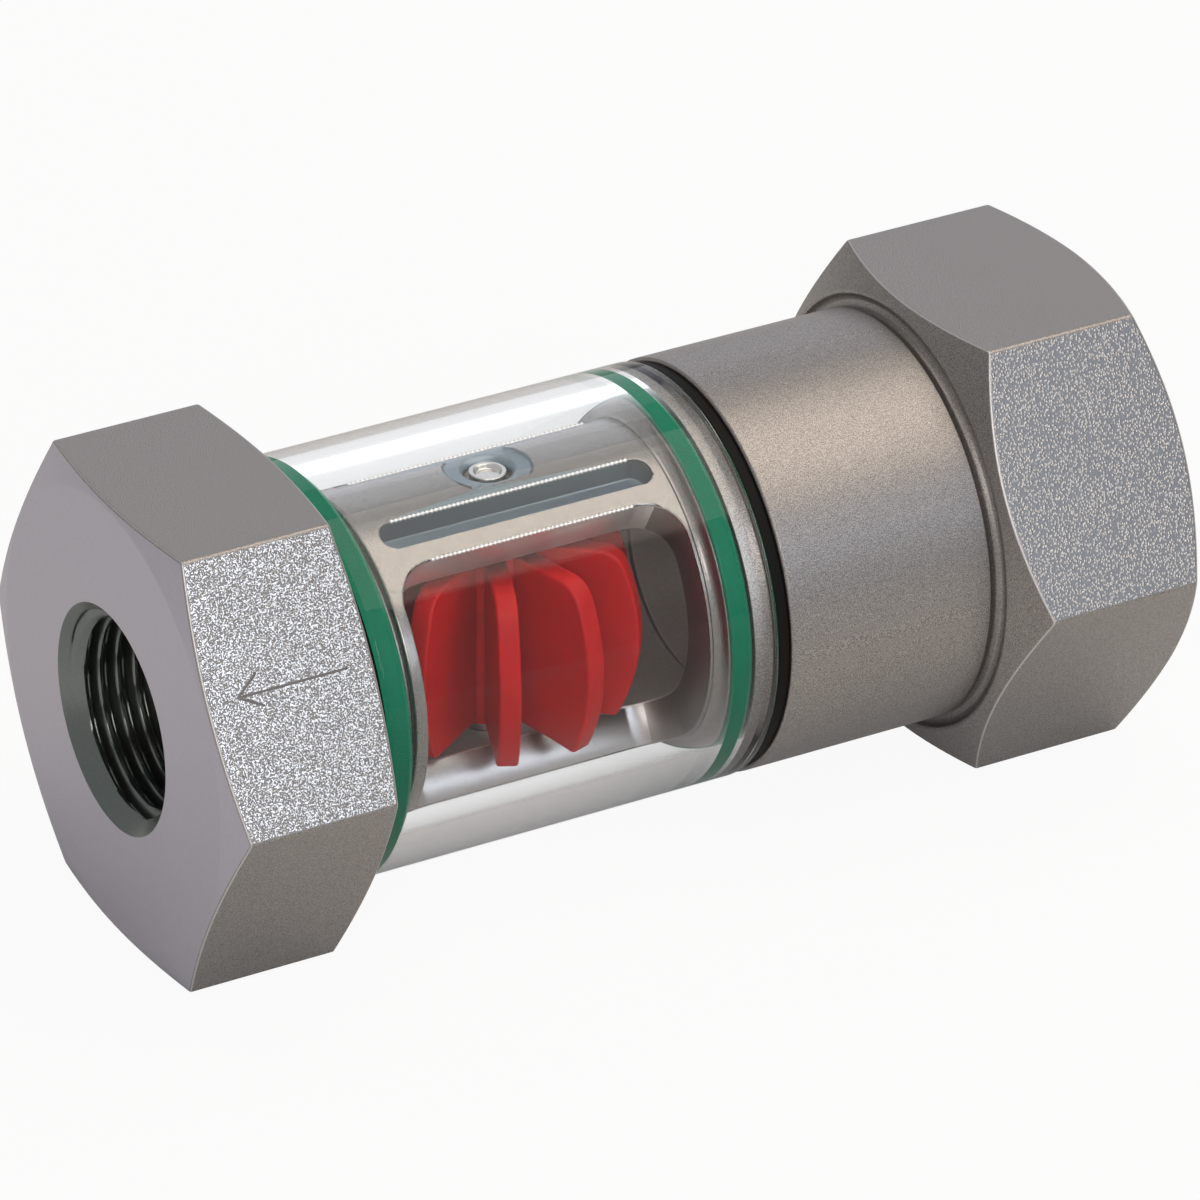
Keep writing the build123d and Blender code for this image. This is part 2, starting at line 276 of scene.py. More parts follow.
# Darker steel in the countersinks and the threads: painted shade in the sockets.
THREAD_PAINTED_SHADE = milled_stainless("Thread-cut stainless steel with painted shade", "#8a908d", "#7a807d", 0.3)
# Lighter steel for the hexagon's rounded edges: a painted highlight.
EDGE_PAINTED_HIGHLIGHT = milled_stainless("Stainless steel with painted edge highlight", "#d8d6d4", "#cccac8", 0.4)
ENGRAVED = milled_stainless("Engraved stainless steel", "#928c86", "#837d78", 0.5)
GROUND = ground_stainless()
GLASS = borosilicate_glass()
GREEN = moulded_rubber("Green fluoro rubber", "#007657", "#00674c", 0.45)
BLACK = moulded_rubber("Black nitrile rubber", "#0e0e0c", "#090908", 0.6)
RED = red_polyamide()
WHITE = white_acetal()


# Surfaces

def new_object(name, data):
    """An object with this data, put in the scene."""
    made = bpy.data.objects.new(name, data)
    bpy.context.scene.collection.objects.link(made)
    return made


def mesh_piece(name, grids, body):
    """One object from several grids of points in millimetres, each wrapped round along its first direction.

    A grid has the shape (columns, rows, 3). Faces join neighbouring columns and rows, and the last
    column joins the first. If a grid is marked as closed, its last row joins its first row too.
    """
    points, faces, start = [], [], 0
    for grid, closed in grids:
        columns, rows = grid.shape[:2]
        points.append(grid.reshape(-1, 3) * MM)
        i = np.arange(columns)[:, None]
        j = np.arange(rows if closed else rows - 1)[None, :]
        right, up = (i + 1) % columns, (j + 1) % rows
        quads = np.stack([i * rows + j, right * rows + j, right * rows + up, i * rows + up], -1)
        faces.append(quads.reshape(-1, 4) + start)
        start += columns * rows
    points, faces = np.concatenate(points), np.concatenate(faces)
    mesh = bpy.data.meshes.new(name)
    mesh.from_pydata(points, [], faces.tolist())
    weld(mesh)
    piece = new_object(name, mesh)
    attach(piece, body)
    return piece


def weld(mesh):
    """Merges doubled points, drops faces without area, turns faces outwards and shades them smooth."""
    work = bmesh.new()
    work.from_mesh(mesh)
    bmesh.ops.remove_doubles(work, verts=work.verts, dist=1e-7)
    bmesh.ops.dissolve_degenerate(work, edges=work.edges, dist=1e-8)
    bmesh.ops.recalc_face_normals(work, faces=work.faces)
    work.to_mesh(mesh)
    work.free()
    mesh.polygons.foreach_set("use_smooth", np.ones(len(mesh.polygons), bool))
    mesh.update()


def rounded(corners, reaches, steps=5, closed=True):
    """Outline with every corner replaced by a small curve.

    Each curve is a parabola from a point one reach before the corner to a point one reach after it:
    (1-s)^2 P0 + 2s(1-s) P + s^2 P1. One more point on each side keeps the flats flat when shaded.
    The corners may have leading directions, such as one outline for each angle round an axis.
    """
    corners = np.asarray(corners, float)
    before = np.roll(corners, 1, -2) - corners
    after = np.roll(corners, -1, -2) - corners
    far_before = np.linalg.norm(before, axis=-1, keepdims=True)
    far_after = np.linalg.norm(after, axis=-1, keepdims=True)
    reach = np.broadcast_to(np.asarray(reaches, float), corners.shape[-2])[..., None]
    reach = np.minimum(reach, 0.38 * np.minimum(far_before, far_after))
    if not closed:
        reach = reach.copy()
        reach[..., [0, -1], :] = 0.0
    before, after = before / far_before, after / far_after
    p0, p1 = corners + before * reach, corners + after * reach
    s = np.linspace(0, 1, steps)[:, None]
    curve = ((1 - s) ** 2 * p0[..., None, :] + 2 * s * (1 - s) * corners[..., None, :]
             + s ** 2 * p1[..., None, :])
    curve = np.concatenate([(p0 + before * reach * 0.3)[..., None, :], curve,
                            (p1 + after * reach * 0.3)[..., None, :]], -2)
    return curve.reshape(corners.shape[:-2] + (-1, 2))


def round_flow_axis(profile, angles):
    """Carries a profile of (x, r) round the flow axis: y = -r cos a, z = r sin a, a from front to top."""
    profile = np.broadcast_to(profile, (len(angles),) + profile.shape[-2:])
    a = np.radians(angles)[:, None]
    x, r = profile[..., 0], profile[..., 1]
    return np.stack([x, -r * np.cos(a), r * np.sin(a)], -1)


def round_axle(profile, turns=72):
    """Carries a profile of (r, z) round the wheel's axle: x = r cos a + axle, y = r sin a."""
    a = np.linspace(0, 2 * np.pi, turns, endpoint=False)[:, None]
    r, z = profile[None, :, 0], profile[None, :, 1]
    return np.stack([r * np.cos(a) + axle_x, r * np.sin(a), z + 0 * a], -1)


# Fittings

def hexagon_angles(flat_steps=18, corner_steps=7):
    """Angles round the flow axis, close together at the hexagon's rounded corners, and its radius there.

    On a flat the radius is apothem / cos(angle from the flat's middle). At a corner it is the far side
    of a circle of the corner's radius that touches both flats.
    """
    apothem = across_flats / 2
    middle = (apothem - hexagon_corner) / COS30
    reach = math.degrees(math.atan2(hexagon_corner / 2, middle + hexagon_corner * COS30))
    turn = np.concatenate([
        np.linspace(-reach, reach, corner_steps),
        np.linspace(reach * 1.6, 60 - reach * 1.6, flat_steps)])
    from_corner = np.minimum(np.abs(turn), np.abs(60 - turn))
    d = np.radians(np.minimum(from_corner, reach))
    at_corner = middle * np.cos(d) + np.sqrt(np.maximum(hexagon_corner ** 2 - (middle * np.sin(d)) ** 2, 0))
    on_flat = apothem / np.cos(np.radians(30 - from_corner))
    radius = np.where(from_corner < reach, at_corner, on_flat)
    angles = np.concatenate([turn + 60 * k for k in range(6)])
    return angles, np.tile(radius, 6)


def thread_rows(face, inward, angles, per_pitch=14):
    """Profile of an internal pipe thread for each angle, from the socket's floor out to its face.

    The groove deepens and fades along a right-handed helix: its phase is x / pitch + a / 360. The
    countersink's cone cuts through it, so the radius is the larger of the two.
    """
    depth = np.linspace(thread_depth, 0.0, int(thread_depth / thread_pitch * per_pitch) + 1)[None, :]
    x = face + inward * depth
    phase = np.mod(x / thread_pitch + angles[:, None] / 360, 1)
    wave = np.clip((np.abs(2 * phase - 1) - 0.14) / 0.72, 0, 1)
    wave = wave * wave * (3 - 2 * wave) * 0.35 + wave * 0.65
    fade = np.clip((thread_depth - 0.8 - depth) / 2.0, 0, 1)
    radius = thread_minor + (thread_major - thread_minor) * wave * fade
    return np.stack([x + 0 * radius, np.maximum(radius, countersink - depth)], -1)


def fitting(name, face, inward, corners, reaches):
    """Hexagonal fitting: a closed profile carried round the flow axis, whose hexagon rows follow the angle.

    corners is a function of the hexagon's radius that gives the profile's corners, from the face's
    countersink over the outside to the socket's floor.
    """
    angles, hexagon = hexagon_angles()
    outline = np.stack([np.broadcast_to(np.stack(np.broadcast_arrays(x, r), -1), hexagon.shape + (2,))
                        for x, r in corners(hexagon)], 1)
    threads = thread_rows(face, inward, angles)
    outside = rounded(outline, reaches, closed=False)
    grid = round_flow_axis(np.concatenate([outside, threads], 1), angles)
    return mesh_piece(name, [(grid, True)], "housing")


def outlet_corners(h):
    """Corners of the outlet fitting's profile for a hexagon radius h, from the countersink to the thread."""
    rise = (h - outlet_face_radius) * outlet_chamfer
    return [(outlet_face, countersink), (outlet_face, outlet_face_radius), (outlet_face + rise, h),
            (outlet_shoulder - rise, h), (outlet_shoulder, outlet_face_radius),
            (outlet_shoulder, glass_bore + touch), (outlet_seat_start, glass_bore + touch),
            (outlet_seat_start, seat_radius), (cage_start, seat_radius), (cage_start, tail_hole_radius),
            (outlet_tail_end, tail_hole_radius), (outlet_tail_end, outlet_throat),
            (outlet_face + thread_depth, outlet_throat), (outlet_face + thread_depth, thread_minor)]


def inlet_corners(h):
    """Corners of the inlet fitting's profile for a hexagon radius h, from the countersink to the thread.

    The seven corners after the hexagon's back go round the undercut at the foot of the neck.
    """
    return [(inlet_face, countersink), (inlet_face, inlet_face_radius),
            (inlet_face - (h - inlet_face_radius) * inlet_chamfer, h),
            (inlet_back + (h - inlet_back_radius) * inlet_chamfer, h), (inlet_back, inlet_back_radius),
            (inlet_back, 21.69), (32.1, 21.4), (32.28, 20.9), (32.05, 20.35), (31.48, 20.1),
            (31.0, 20.25), (30.787, neck_radius), (inlet_shoulder + 0.2, neck_radius),
            (inlet_shoulder, neck_radius - 0.2), (inlet_shoulder, glass_bore + touch),
            (inlet_seat_end, glass_bore + touch), (inlet_seat_end, seat_radius), (cage_end, seat_radius),
            (cage_end, tail_hole_radius), (inlet_tail_end, tail_hole_radius),
            (inlet_tail_end, chamber_radius), (groove_start, chamber_radius), (groove_start, groove_radius),
            (groove_end, groove_radius), (groove_end, chamber_radius), (nozzle_seat, chamber_radius),
            (nozzle_seat, inlet_throat), (inlet_face - thread_depth, inlet_throat),
            (inlet_face - thread_depth, thread_minor)]


outlet = fitting("outlet_fitting_finished", outlet_face, 1, outlet_corners,
                 [0.1, 0.15, 0.22, 0.22, 0.15, 0.1, 0.15] + [0.1] * 7)
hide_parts("outlet_fitting")
dress(outlet, BLASTED)
inlet = fitting("inlet_fitting_finished", inlet_face, -1, inlet_corners,
                [0.1, 0.15, 0.22, 0.22, 0.1, 0.1, 0.2, 0.2, 0.2, 0.2, 0.2, 0.1, 0.1] + [0.1] * 16)
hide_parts("inlet_fitting")
dress(inlet, BLASTED)


def finish_where(piece, finish, chosen):
    """Gives some faces their own finish. chosen takes each face's middle in millimetres and its normal."""
    mesh = piece.data
    count = len(mesh.polygons)
    centres, normals, index = np.empty(count * 3), np.empty(count * 3), np.empty(count, np.int32)
    mesh.polygons.foreach_get("center", centres)
    mesh.polygons.foreach_get("normal", normals)
    mesh.polygons.foreach_get("material_index", index)
    mesh.materials.append(finish)
    index[chosen(centres.reshape(-1, 3) / MM, normals.reshape(-1, 3))] = len(mesh.materials) - 1
    mesh.polygons.foreach_set("material_index", index)
    mesh.update()


def from_axis(places):
    """Distance of places from the flow axis."""
    return np.hypot(places[:, 1], places[:, 2])


def on_front_flat(middle, normal):
    """The hexagon's upper front flat, whose skin was left coarse; blasting smoothed the others. Its colour,
    lighter than the other flats', is painted light.
    """
    return (normal @ (0, -COS30, SIN30) > 0.999) & (from_axis(middle) > across_flats / 2 - 0.06)


def engrave_arrow(piece):
    """Cuts the flow arrow into the upper front flat: a shaft and two barbs that meet at the tip.

    The outline runs round strokes of one width: two strokes at an angle u meet half a width / sin(u / 2)
    along the line between them. A place on the flat is (x, t) at the distance r from the axis:
    y = -r cos 30 + t sin 30, z = r sin 30 + t cos 30.
    """
    half, floor_radius, roof_radius = 0.12, across_flats / 2 - 0.2, 23.4
    tip = np.array((-49.2, 0.1))
    ends = np.array([(-46.8, -1.2), (-38.0, 0.15), (-46.9, 1.95)])
    ways = (ends - tip) / np.linalg.norm(ends - tip, axis=1)[:, None]
    sides = np.stack([-ways[:, 1], ways[:, 0]], 1) * half

    def meeting(one, other, inside=1):
        bisector = (one + other) / np.linalg.norm(one + other)
        return tip + inside * bisector * half / math.sqrt((1 - one @ other) / 2)

    outline = np.array([
        meeting(ways[0], ways[2], -1), ends[0] - sides[0], ends[0] + sides[0],
        meeting(ways[0], ways[1]), ends[1] - sides[1], ends[1] + sides[1],
        meeting(ways[1], ways[2]), ends[2] - sides[2], ends[2] + sides[2]])
    count = len(outline)
    points = np.array([(x, -r * COS30 + t * SIN30, r * SIN30 + t * COS30)
                       for r in (floor_radius, roof_radius) for x, t in outline])
    walls = [(i, (i + 1) % count, (i + 1) % count + count, i + count) for i in range(count)]
    arrow = bpy.data.meshes.new("arrow")
    arrow.from_pydata(points * MM, [], [tuple(range(count)), tuple(range(count, 2 * count))] + walls)
    weld(arrow)
    cutter = new_object("arrow", arrow)
    cut = piece.modifiers.new("arrow", "BOOLEAN")
    cut.operation, cut.solver, cut.object = "DIFFERENCE", "EXACT", cutter
    apply_modifiers(piece)
    bpy.data.objects.remove(cutter)
    piece.data.set_sharp_from_angle(angle=math.radians(40))


def apply_modifiers(piece):
    """Turns a piece's modifiers into its own mesh."""
    graph = bpy.context.evaluated_depsgraph_get()
    made = bpy.data.meshes.new_from_object(piece.evaluated_get(graph))
    piece.modifiers.clear()
    piece.data = made


def in_arrow(middle, normal):
    """Walls and floor of the engraved arrow, within 3 mm of the flat's middle line."""
    depth = across_flats / 2 - (middle[:, 1] * -COS30 + middle[:, 2] * SIN30)
    sideways = np.abs(middle[:, 2] * COS30 + middle[:, 1] * SIN30)
    return (depth > 0.02) & (depth < 0.3) & (middle[:, 0] > -49.6) & (middle[:, 0] < -37.6) & (sideways < 3)


def end_face(middle, normal):
    """The two turned end faces round the sockets, with the outlet's flat chamfer."""
    return (np.abs(middle[:, 0]) > inlet_face - 1.2) & (np.abs(normal[:, 0]) > 0.93)


def socket(middle, normal):
    """Countersink and thread, given darker steel as painted shade in the socket."""
    return (np.abs(middle[:, 0]) > inlet_face - thread_depth - 0.1) & (from_axis(middle) < countersink + 0.05)


def outer_edge(middle, normal):
    """Rounded edges between the hexagon's flats and its chamfers, given lighter steel as a painted highlight.
    """
    lean = np.abs(normal[:, 0])
    return (from_axis(middle) > 22.6) & (lean > 0.3) & (lean < 0.8)


engrave_arrow(outlet)
finish_where(outlet, OUTLET_SKIN_PAINTED_LIGHT, on_front_flat)
finish_where(outlet, ENGRAVED, in_arrow)
finish_where(inlet, INLET_SKIN_PAINTED_LIGHT, on_front_flat)
for fitted in (outlet, inlet):
    finish_where(fitted, FACED, end_face)
    finish_where(fitted, THREAD_PAINTED_SHADE, socket)
    finish_where(fitted, EDGE_PAINTED_HIGHLIGHT, outer_edge)
finish_where(inlet, BORED, lambda middle, normal: (from_axis(middle) < tail_hole_radius + 0.17)
             & (middle[:, 0] < nozzle_seat + 0.1))


# Glass and rings

def ring(name, corners, reaches, node, finish, turns=192):
    """Round piece: a closed outline of (x, r) with rounded corners, carried round the flow axis."""
    grid = round_flow_axis(rounded(corners, reaches), np.linspace(0, 360, turns, endpoint=False))
    made = mesh_piece(name, [(grid, True)], "housing")
    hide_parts(node)
    dress(made, finish)
    return made


glass = ring("sight_glass_finished", [
    (glass_start, glass_bore + bore_bevel), (glass_start, glass_radius - glass_bevel),
    (glass_start + glass_bevel, glass_radius), (glass_end - glass_bevel, glass_radius),
    (glass_end, glass_radius - glass_bevel), (glass_end, glass_bore + bore_bevel),
    (glass_end - bore_bevel, glass_bore), (glass_start + bore_bevel, glass_bore)],
    0.12, "sight_glass", GLASS)
glass.visible_shadow = False

for side, start, node in (("outlet", outlet_seat_start + seal_side_gap, "outlet_glass_seal"),
                          ("inlet", inlet_seat_end - seal_side_gap - seal_width, "inlet_glass_seal")):
    end, foot, top = start + seal_width, seat_radius + 0.02, glass_bore + touch
    ring(side + "_glass_seal_finished", [(start, foot), (start, top), (end, top), (end, foot)],
         [0.4, 0.3, 0.8, 0.4], node, GREEN)
for side, start, node in (("outlet", outlet_shoulder, "outlet_cushion_ring"),
                          ("inlet", glass_end, "inlet_cushion_ring")):
    near, far = start + touch, start + cushion_thickness - touch
    ring(side + "_cushion_ring_finished",
         [(near, cushion_bore), (near, cushion_radius), (far, cushion_radius), (far, cushion_bore)],
         0.2, node, BLACK)


def seal_lip():
    """Thin steel lip that hides the inlet seal's inner side, as the photo shows no green there.

    It rises from the cage's outside along the parabola (1-s)^2 P0 + 2s(1-s) P + s^2 P1.
    """
    s = np.linspace(0, 1, 9)[:, None]
    foot, top, back = 15.81, 17.2, 3.38
    rise = (1 - s) ** 2 * (2.3, foot) + 2 * s * (1 - s) * (3.15, foot) + s ** 2 * (3.3, top)
    outline = np.concatenate([rise, [(back, top), (back, foot)]])
    lip = round_flow_axis(outline, np.linspace(0, 360, 192, endpoint=False))
    dress(mesh_piece("inlet_seal_lip", [(lip, True)], "housing"), TURNED)


seal_lip()


# Scallops that the lathe's rings leave where the cage's edges are broken

def scallops(name, x0, x1, y, z):
    """A row of beads along x: radius least + swell |sin(pi x / pitch)|, closed to a point at both ends. Their
    pure white colour is a painted highlight.
    """
    pitch, least, swell = 0.47, 0.05, 0.14
    x = np.linspace(x0, x1, int((x1 - x0) / pitch * 8))
    radius = least + swell * np.abs(np.sin(np.pi * (x - x0) / pitch))
    radius[[0, -1]] = 0.0
    a = np.linspace(0, 2 * np.pi, 8, endpoint=False)[:, None]
    grid = np.stack([x + 0 * a, y + radius * np.cos(a), z + radius * np.sin(a)], -1)
    dress(mesh_piece(name, [(grid, False)], "housing"), SCALLOP_PAINTED_HIGHLIGHT)


for side, sign in (("front", 1), ("rear", -1)):
    slot, window, outside = math.radians(slot_angle), math.radians(window_angle), 15.79
    near = math.sqrt(outside ** 2 - slot_half_width ** 2)
    scallops(side + "_slot_scallops", axle_x - slot_reach, axle_x + slot_reach,
             sign * (slot_half_width * math.sin(slot) - near * math.cos(slot)),
             near * math.sin(slot) + slot_half_width * math.cos(slot))
    scallops(side + "_window_scallops", axle_x - window_reach, axle_x + window_reach,
             -sign * outside * math.cos(window), outside * math.sin(window))


# Vane wheel

def vane_outline():
    """Outline of a vane: the arc r = tip - sag (z / h)^2, which rolls over the ends with two radii.

    Where the arc's normal tilts by u, tan u = 2 sag z / h^2, each end's circle touches it from inside, and
    its middle lies one radius inside the end: z - radius sin u = h - radius.
    """
    h, ends = vane_half_height, []

    def tilt_at(z):
        return math.atan(2 * vane_sag * z / h ** 2)

    def arc_at(z):
        return vane_tip - vane_sag * (z / h) ** 2

    for radius, sign in ((vane_top_corner, 1), (vane_bottom_corner, -1)):
        z = h - radius
        for _ in range(20):
            z = h - radius + radius * math.sin(tilt_at(z))
        a = np.linspace(tilt_at(z), math.pi / 2, 9)
        middle = arc_at(z) - radius * math.cos(tilt_at(z))
        ends.append(np.stack([middle + radius * np.cos(a), sign * (h - radius + radius * np.sin(a))], 1))
    top, bottom = ends
    z = np.linspace(bottom[0, 1], top[0, 1], 24)[1:-1]
    return np.concatenate([[(2.0, -h)], bottom[::-1], np.stack([arc_at(z), z], 1), top, [(2.0, h)]])


def vane_grid(turn):
    """One vane as a rounded plate.

    Through the thickness t goes from -90 to 90 degrees: the outline is drawn in by e (1 - cos t) and lies
    at +-(half - e) + e sin t across, e being the edge radius. Both flats close to a point at the middle.
    """
    half, e = 1.05, 0.3
    outline = vane_outline()
    ahead = np.roll(outline, -1, 0) - np.roll(outline, 1, 0)
    normal = np.stack([ahead[:, 1], -ahead[:, 0]], 1) / np.linalg.norm(ahead, axis=1, keepdims=True)
    t = np.radians(np.concatenate([np.linspace(-90, 0, 6), np.linspace(0, 90, 6)]))
    side = np.repeat([-1.0, 1.0], 6)
    inset = e * (1 - np.cos(t))
    across = side * (half - e) + e * np.sin(t)
    rows = outline[:, None, :] - normal[:, None, :] * inset[None, :, None]
    middle = np.broadcast_to(np.array([7.0, 0.0]), (len(outline), 1, 2))
    first, last = (middle + (row - middle) * 0.93 for row in (rows[:, :1], rows[:, -1:]))
    rows = np.concatenate([middle, first, rows, last, middle], 1)
    across = np.concatenate([[-half, -half], across, [half, half]])
    a = math.radians(turn)
    r, y = rows[..., 0], across[None, :] + 0 * rows[..., 0]
    return np.stack([axle_x + r * math.cos(a) - y * math.sin(a), r * math.sin(a) + y * math.cos(a),
                     rows[..., 1]], -1)


hub = rounded([(hub_bore, -hub_half_height), (hub_radius, -hub_half_height), (hub_radius, hub_half_height),
               (hub_bore, hub_half_height)], 0.25)
grids = [(round_axle(hub), True)] + [
    (vane_grid(vane_phase + 360 // vane_count * k), False) for k in range(vane_count)]
wheel = mesh_piece("vane_wheel_finished", grids, "wheel")
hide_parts("rotor")
dress(wheel, RED)


# Bearing bushes

def bush(name, node, sign):
    """Stepped bush: an outline of (r, z) that starts in the dimple and is carried round the axle."""
    dimple, rim, collar_foot, inner_end, bore_end = 14.95, 15.35, 14.45, 9.8, 14.05
    collar, outside, bore = 1.8, 2.2, 1.28
    corners = np.array([(0, dimple), (1.1, dimple), (1.4, rim), (collar, rim), (collar, collar_foot),
                        (outside, collar_foot), (outside, inner_end), (bore, inner_end), (bore, bore_end),
                        (0, bore_end)]) * (1, sign)
    grid = round_axle(rounded(corners, 0.12, closed=False), 96)
    made = mesh_piece(name, [(grid, False)], "housing")
    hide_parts(node)
    dress(made, GROUND)


bush("upper_bearing_bush_finished", "upper_bearing_bush", 1)
bush("lower_bearing_bush_finished", "lower_bearing_bush", -1)


# Cage

def round_normals(mesh, radii):
    """Gives faces that lie on cylinders round the flow axis the cylinder's own normals: (0, y, z) / r."""
    count, corners = len(mesh.polygons), len(mesh.loops)
    points, own = np.empty(len(mesh.vertices) * 3), np.empty(corners * 3)
    vertex, total = np.empty(corners, np.int32), np.empty(count, np.int32)
    centre, normal = np.empty(count * 3), np.empty(count * 3)
    mesh.vertices.foreach_get("co", points)
    mesh.loops.foreach_get("vertex_index", vertex)
    mesh.corner_normals.foreach_get("vector", own)
    mesh.polygons.foreach_get("loop_total", total)
    mesh.polygons.foreach_get("center", centre)
    mesh.polygons.foreach_get("normal", normal)
    points, own = points.reshape(-1, 3) / MM, own.reshape(-1, 3)
    centre, normal = centre.reshape(-1, 3) / MM, normal.reshape(-1, 3)
    outward = centre * (0, 1, 1) / from_axis(centre)[:, None]
    facing = (outward * normal).sum(1)
    place = points[vertex]
    radial = place * (0, 1, 1) / from_axis(place)[:, None]
    for radius in radii:
        on_it = (np.abs(from_axis(centre) - radius) < 0.15) & (np.abs(facing) > 0.985)
        chosen = np.repeat(on_it, total)
        own[chosen] = radial[chosen] * np.repeat(np.sign(facing), total)[chosen, None]
    mesh.normals_split_custom_set(own.tolist())


def broken_edges(name, node, body, width):
    """A copy of a CAD node, merged, whose sharp edges are broken by a small bevel."""
    mesh = nodes[node].data.copy()
    weld(mesh)
    made = new_object(name, mesh)
    bevel = made.modifiers.new("broken edges", "BEVEL")
    bevel.limit_method, bevel.angle_limit = "ANGLE", math.radians(35)
    bevel.width, bevel.segments, bevel.use_clamp_overlap = width * MM, 2, False
    apply_modifiers(made)
    made.data.set_sharp_from_angle(angle=math.radians(28))
    round_normals(made.data, (cage_radius, chamber_radius))
    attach(made, body)
    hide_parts(node)
    return made


cage = broken_edges("rotor_cage_finished", "rotor_cage", "housing", 0.2)
dress(cage, TURNED)


def in_wall(middle, normal):
    """Faces cut into the cage's wall: neither on its outside, its bore nor its ends."""
    radius, x = from_axis(middle), middle[:, 0]
    return (radius > 11.7) & (radius < 15.55) & (x > cage_start + 0.5) & (x < cage_end - 0.5)


def in_slots(middle, normal):
    """Faces of the four slots."""
    up = np.degrees(np.arctan2(np.abs(middle[:, 2]), np.abs(middle[:, 1])))
    return in_wall(middle, normal) & (np.abs(up - slot_angle) < 7)


def in_spot_face(middle, normal):
    """Faces of the round spot faces at the bushes."""
    return (np.hypot(middle[:, 0] - axle_x, middle[:, 1]) < 4.3) & (np.abs(middle[:, 2]) > 14.5)


finish_where(cage, BORED, lambda middle, normal: from_axis(middle) < 11.7)
# Painted light and shade on the window walls: the upper walls lighter, the sills and the jambs darker.
finish_where(cage, WALL_PAINTED_LIGHT, in_wall)
finish_where(cage, SILL_PAINTED_SHADE, lambda middle, normal: in_wall(middle, normal) & (middle[:, 2] < 0)
             & (np.abs(normal[:, 0]) < 0.5))
finish_where(cage, JAMB_PAINTED_SHADE, lambda middle, normal: in_wall(middle, normal) & (normal[:, 0] < -0.45))
# Painted shade in the slots and a painted dark reflection on the spot faces.
finish_where(cage, SLOT_PAINTED_SHADE, in_slots)
finish_where(cage, SLOT_PAINTED_SHADE, in_spot_face)
dress(nodes["rotor_axle"], GROUND)
dress(nodes["nozzle_retaining_ring"], GROUND)
for name in ("inlet_nozzle", "upper_thrust_washer", "lower_thrust_washer"):
    dress(nodes[name], WHITE)


# Floor, world, lamps and camera

def combine(tree, operation, first, second):
    """The result of one sum, product or comparison of two values."""
    return add(tree, "Math", {0: first, 1: second}, operation=operation).outputs[0]


def straight_through(tree, ray, reflected, clear_to=0):
    """1 for camera rays, also behind clear glass, and a smaller share where they were reflected on the way.

    A ray that crossed no more than clear_to glass surfaces was at most reflected inside, and stays clear.
    """
    met = combine(tree, "ADD", ray["Diffuse Depth"], ray["Glossy Depth"])
    through = combine(tree, "GREATER_THAN", ray["Transmission Depth"], clear_to + 0.5)
    clear = mapped(tree, combine(tree, "MULTIPLY", met, through), 0.0, 1.0, 1.0, reflected)
    seen = combine(tree, "MULTIPLY", ray["Is Transmission Ray"], clear)
    return combine(tree, "MAXIMUM", ray["Is Camera Ray"], seen)


def floor_finish():
    """Matt pale paper. The camera, and a share of what metal and glass see, gets its plain white.

    What the glass reflects inside itself is the paper's shade near the part and plain white farther off.
    """
    made, tree, surface = material("Pale studio paper")
    ray = add(tree, "LightPath").outputs
    away = add(tree, "VectorMath", {0: object_place(tree)}, operation="LENGTH")
    far = mapped(tree, away.outputs["Value"], 0.08, 0.25)
    seen = add(tree, "Mix", {"Factor": far, "A": straight_through(tree, ray, 0.15),
                             "B": straight_through(tree, ray, 0.15, 2)})
    paper = add(tree, "BsdfDiffuse", {"Color": linear("#dcdcdc")})
    white = add(tree, "Emission", {"Color": linear("#ffffff"), "Strength": 1.0})
    glossy = combine(tree, "MULTIPLY", ray["Is Glossy Ray"], 0.08)
    shown = combine(tree, "MULTIPLY", seen.outputs["Result"], 0.93)
    share = combine(tree, "MAXIMUM", shown, glossy)
    both = add(tree, "MixShader", {0: share, 1: paper.outputs[0], 2: white.outputs[0]})
    tree.links.new(both.outputs[0], surface)
    return made


def floor():
    """A wide sheet of paper, 0.2 mm under the flats that the part lies on, in metres."""
    mesh = bpy.data.meshes.new("floor")
    far, level = 6.0, -0.0232
    mesh.from_pydata([(-far, -far, level), (far, -far, level), (far, far, level), (-far, far, level)], [],
                     [(0, 1, 2, 3)])
    mesh.materials.append(floor_finish())
    made = new_object("floor", mesh)


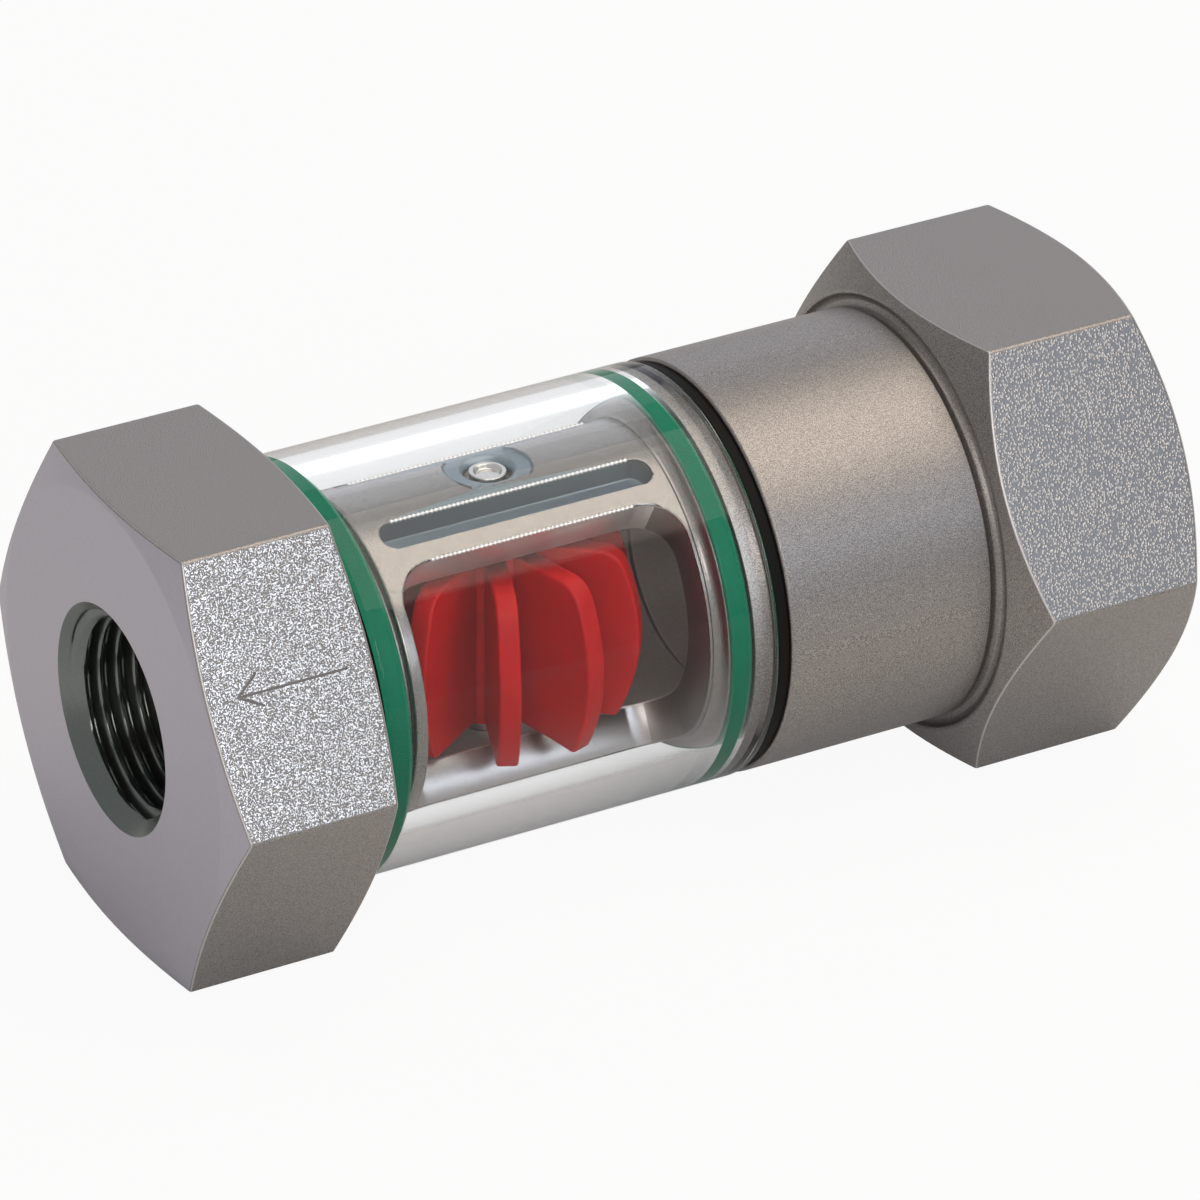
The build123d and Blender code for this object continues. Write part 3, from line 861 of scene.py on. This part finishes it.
def surroundings():
    """Pale grey room; the camera and the glass look through it at plain white."""
    world = bpy.data.worlds.new("Studio")
    bpy.context.scene.world = world
    world.use_nodes = True
    tree = world.node_tree
    tree.nodes.clear()
    clear = straight_through(tree, add(tree, "LightPath").outputs, 0.5, 2)
    room = add(tree, "Background", {"Color": linear("#ffffff"), "Strength": 0.35})
    white = add(tree, "Background", {"Color": linear("#ffffff"), "Strength": 1.0})
    both = add(tree, "MixShader", {0: clear, 1: room.outputs[0], 2: white.outputs[0]})
    tree.links.new(both.outputs[0], add(tree, "OutputWorld").inputs["Surface"])


def softbox(name, centre, facing, width, height, brightness, colour):
    """A soft lamp with its middle at a place, in metres, that faces a point.

    Its radiance is its power / (pi width height).
    """
    lamp = bpy.data.lights.new(name, "AREA")
    lamp.shape = "RECTANGLE"
    lamp.size, lamp.size_y = width, height
    lamp.color = linear(colour)[:3]
    lamp.energy = brightness * math.pi * width * height
    made = new_object(name, lamp)
    made.rotation_mode = "QUATERNION"
    made.rotation_quaternion = (Vector(centre) - Vector(facing)).to_track_quat("Z", "Y")
    made.location = centre


floor()
surroundings()
softbox("Overhead softbox", (0.38, -0.165, 0.8), (0.38, -0.165, 0), 1.1, 0.88, 1.5, "#fff0e0")
softbox("Front softbox", (0.17, -0.88, 0.45), (0, 0, 0), 0.3, 0.35, 4.0, "#e4edff")
softbox("Side softbox", (-0.55, -0.85, 0.55), (0, 0, 0), 0.4, 0.4, 4.0, "#fff6f0")
softbox("Rear softbox", (0.5, 0.95, 0.45), (0, 0, 0), 0.9, 0.8, 0.5, "#eceeff")

# The camera that was fitted to the photo
camera_data = bpy.data.cameras.new("Camera")
camera_data.lens = 258.0
camera_data.sensor_width = 36.0
camera_data.clip_start = 0.05
camera_data.clip_end = 30.0
camera = new_object("Camera", camera_data)
right = Vector((0.8740, -0.4859, 0.0060))
back = -Vector((0.42512, 0.75862, -0.49372))
up = back.cross(right).normalized()
right = up.cross(back).normalized()
turn = Matrix((right, up, back)).transposed().to_4x4()
camera.matrix_world = Matrix.Translation((-0.3502, -0.6241, 0.4049)) @ turn
bpy.context.scene.camera = camera
bpy.context.scene.view_settings.view_transform = "Standard"
